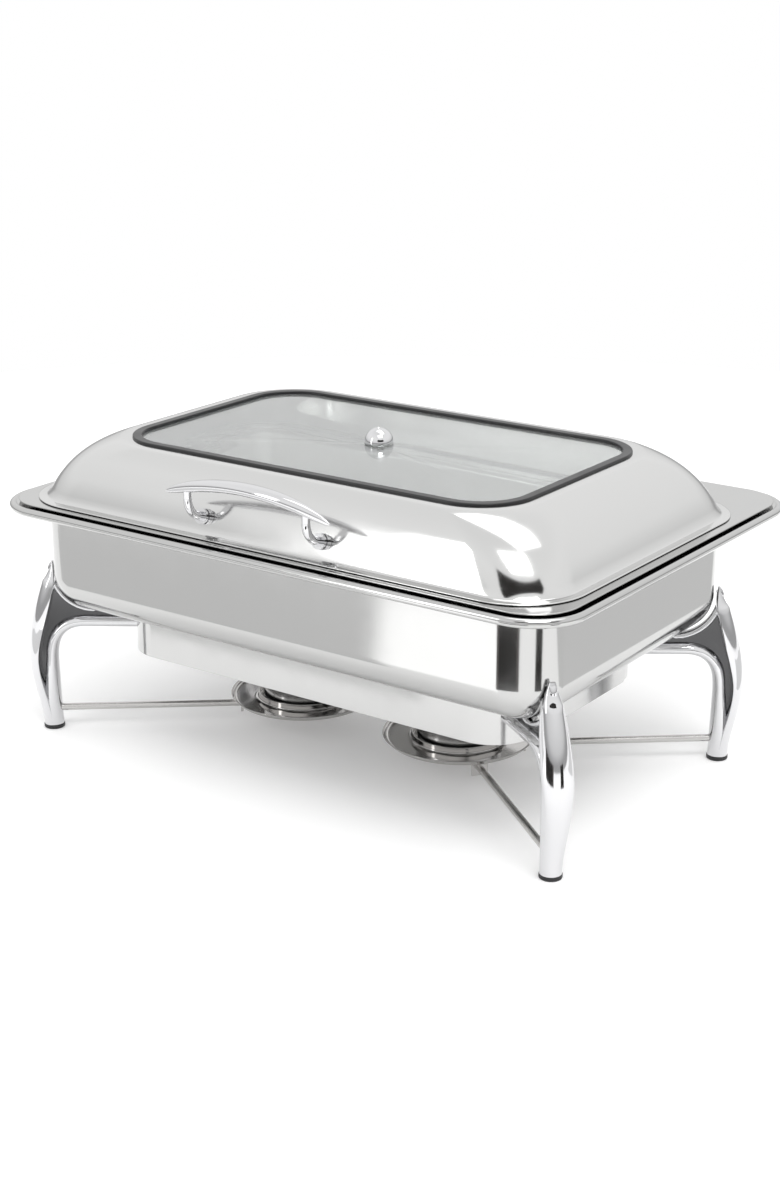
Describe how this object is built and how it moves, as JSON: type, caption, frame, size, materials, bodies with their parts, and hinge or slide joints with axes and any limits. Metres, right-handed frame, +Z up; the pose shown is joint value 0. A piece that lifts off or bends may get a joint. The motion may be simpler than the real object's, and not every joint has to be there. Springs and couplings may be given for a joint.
{
  "type": "rectangular chafing dish",
  "caption": "Rectangular steel buffet chafing dish: water pan on a legged stand, food pan, hinged glass-topped lid with a bow handle, and fuel cups on saucer trays.",
  "frame": {"origin": "on the table under the middle of the whole object's box", "axes": "+X along the length, to the right seen from the handle side; +Y from the handle to the hinge; +Z up"},
  "size_m": [0.5944, 0.4358, 0.2993],
  "materials": {
    "lid_steel": "polished",
    "pan_steel": "polished",
    "apron_steel": "polished",
    "plain_steel": "plain",
    "chrome": "mirror",
    "window_glass": "clear",
    "black_silicone": "satin",
    "black_rubber": "matte",
    "black_paint": "satin"
  },
  "bodies": {
    "stand": {"apron_front": "apron_steel", "apron_rear": "apron_steel", "corner_clamps": "plain_steel", "clamp_screws": "chrome", "leg_bolts": "plain_steel", "leg_front_left": "chrome", "leg_front_right": "chrome", "leg_rear_left": "chrome", "leg_rear_right": "chrome", "foot_front_left": "black_rubber", "foot_front_right": "black_rubber", "foot_rear_left": "black_rubber", "foot_rear_right": "black_rubber", "brace_front_left": "chrome", "brace_front_right": "chrome", "brace_rear_left": "chrome", "brace_rear_right": "chrome", "brace_tabs": "chrome", "tray_left": "chrome", "tray_right": "chrome"},
    "cup_left": {"fuel_cup_left": "pan_steel"},
    "cup_right": {"fuel_cup_right": "pan_steel"},
    "flame_cover_body_left": {"flame_cover_left": "pan_steel"},
    "flame_cover_body_right": {"flame_cover_right": "pan_steel"},
    "water_pan_body": {"water_pan": "pan_steel"},
    "frame": {"cover_frame": "pan_steel", "food_pan": "pan_steel", "hinge_housing": "pan_steel", "hinge_brackets": "plain_steel", "hinge_damper": "black_paint", "bracket_screws": "plain_steel", "housing_screws": "chrome"},
    "lid": {"hinge_pin": "plain_steel", "lid_arm_left": "lid_steel", "lid_arm_right": "lid_steel", "arm_rivets": "plain_steel", "lid_shell": "lid_steel", "window_seal": "black_silicone", "window_glass": "window_glass", "vent_knob": "chrome", "vent_nut": "plain_steel", "handle_bar": "chrome", "handle_post_left": "chrome", "handle_post_right": "chrome", "handle_collars": "chrome", "handle_screws": "plain_steel"}
  },
  "joints": [
    {"name": "pan_lift", "type": "slide", "parent": "stand", "child": "water_pan_body", "axis": [0, 0, 1], "range_m": [0, 0.06]},
    {"name": "frame_lift", "type": "slide", "parent": "water_pan_body", "child": "frame", "axis": [0, 0, 1], "range_m": [0, 0.08]},
    {"name": "lid_hinge", "type": "hinge", "parent": "frame", "child": "lid", "pos_m": [0, 0.18423, 0.2402], "axis": [-1, 0, 0], "range_deg": [0, 85]},
    {"name": "cup_left_lift", "type": "slide", "parent": "stand", "child": "cup_left", "axis": [0, 0, 1], "range_m": [0, 0.02]},
    {"name": "cup_right_lift", "type": "slide", "parent": "stand", "child": "cup_right", "axis": [0, 0, 1], "range_m": [0, 0.02]},
    {"name": "flame_cover_left_swing", "type": "hinge", "parent": "cup_left", "child": "flame_cover_body_left", "pos_m": [-0.121, -0.02377, 0.0606], "axis": [0, 0, -1], "range_deg": [0, 150]},
    {"name": "flame_cover_right_swing", "type": "hinge", "parent": "cup_right", "child": "flame_cover_body_right", "pos_m": [0.121, -0.02377, 0.0606], "axis": [0, 0, 1], "range_deg": [0, 150]}
  ]
}
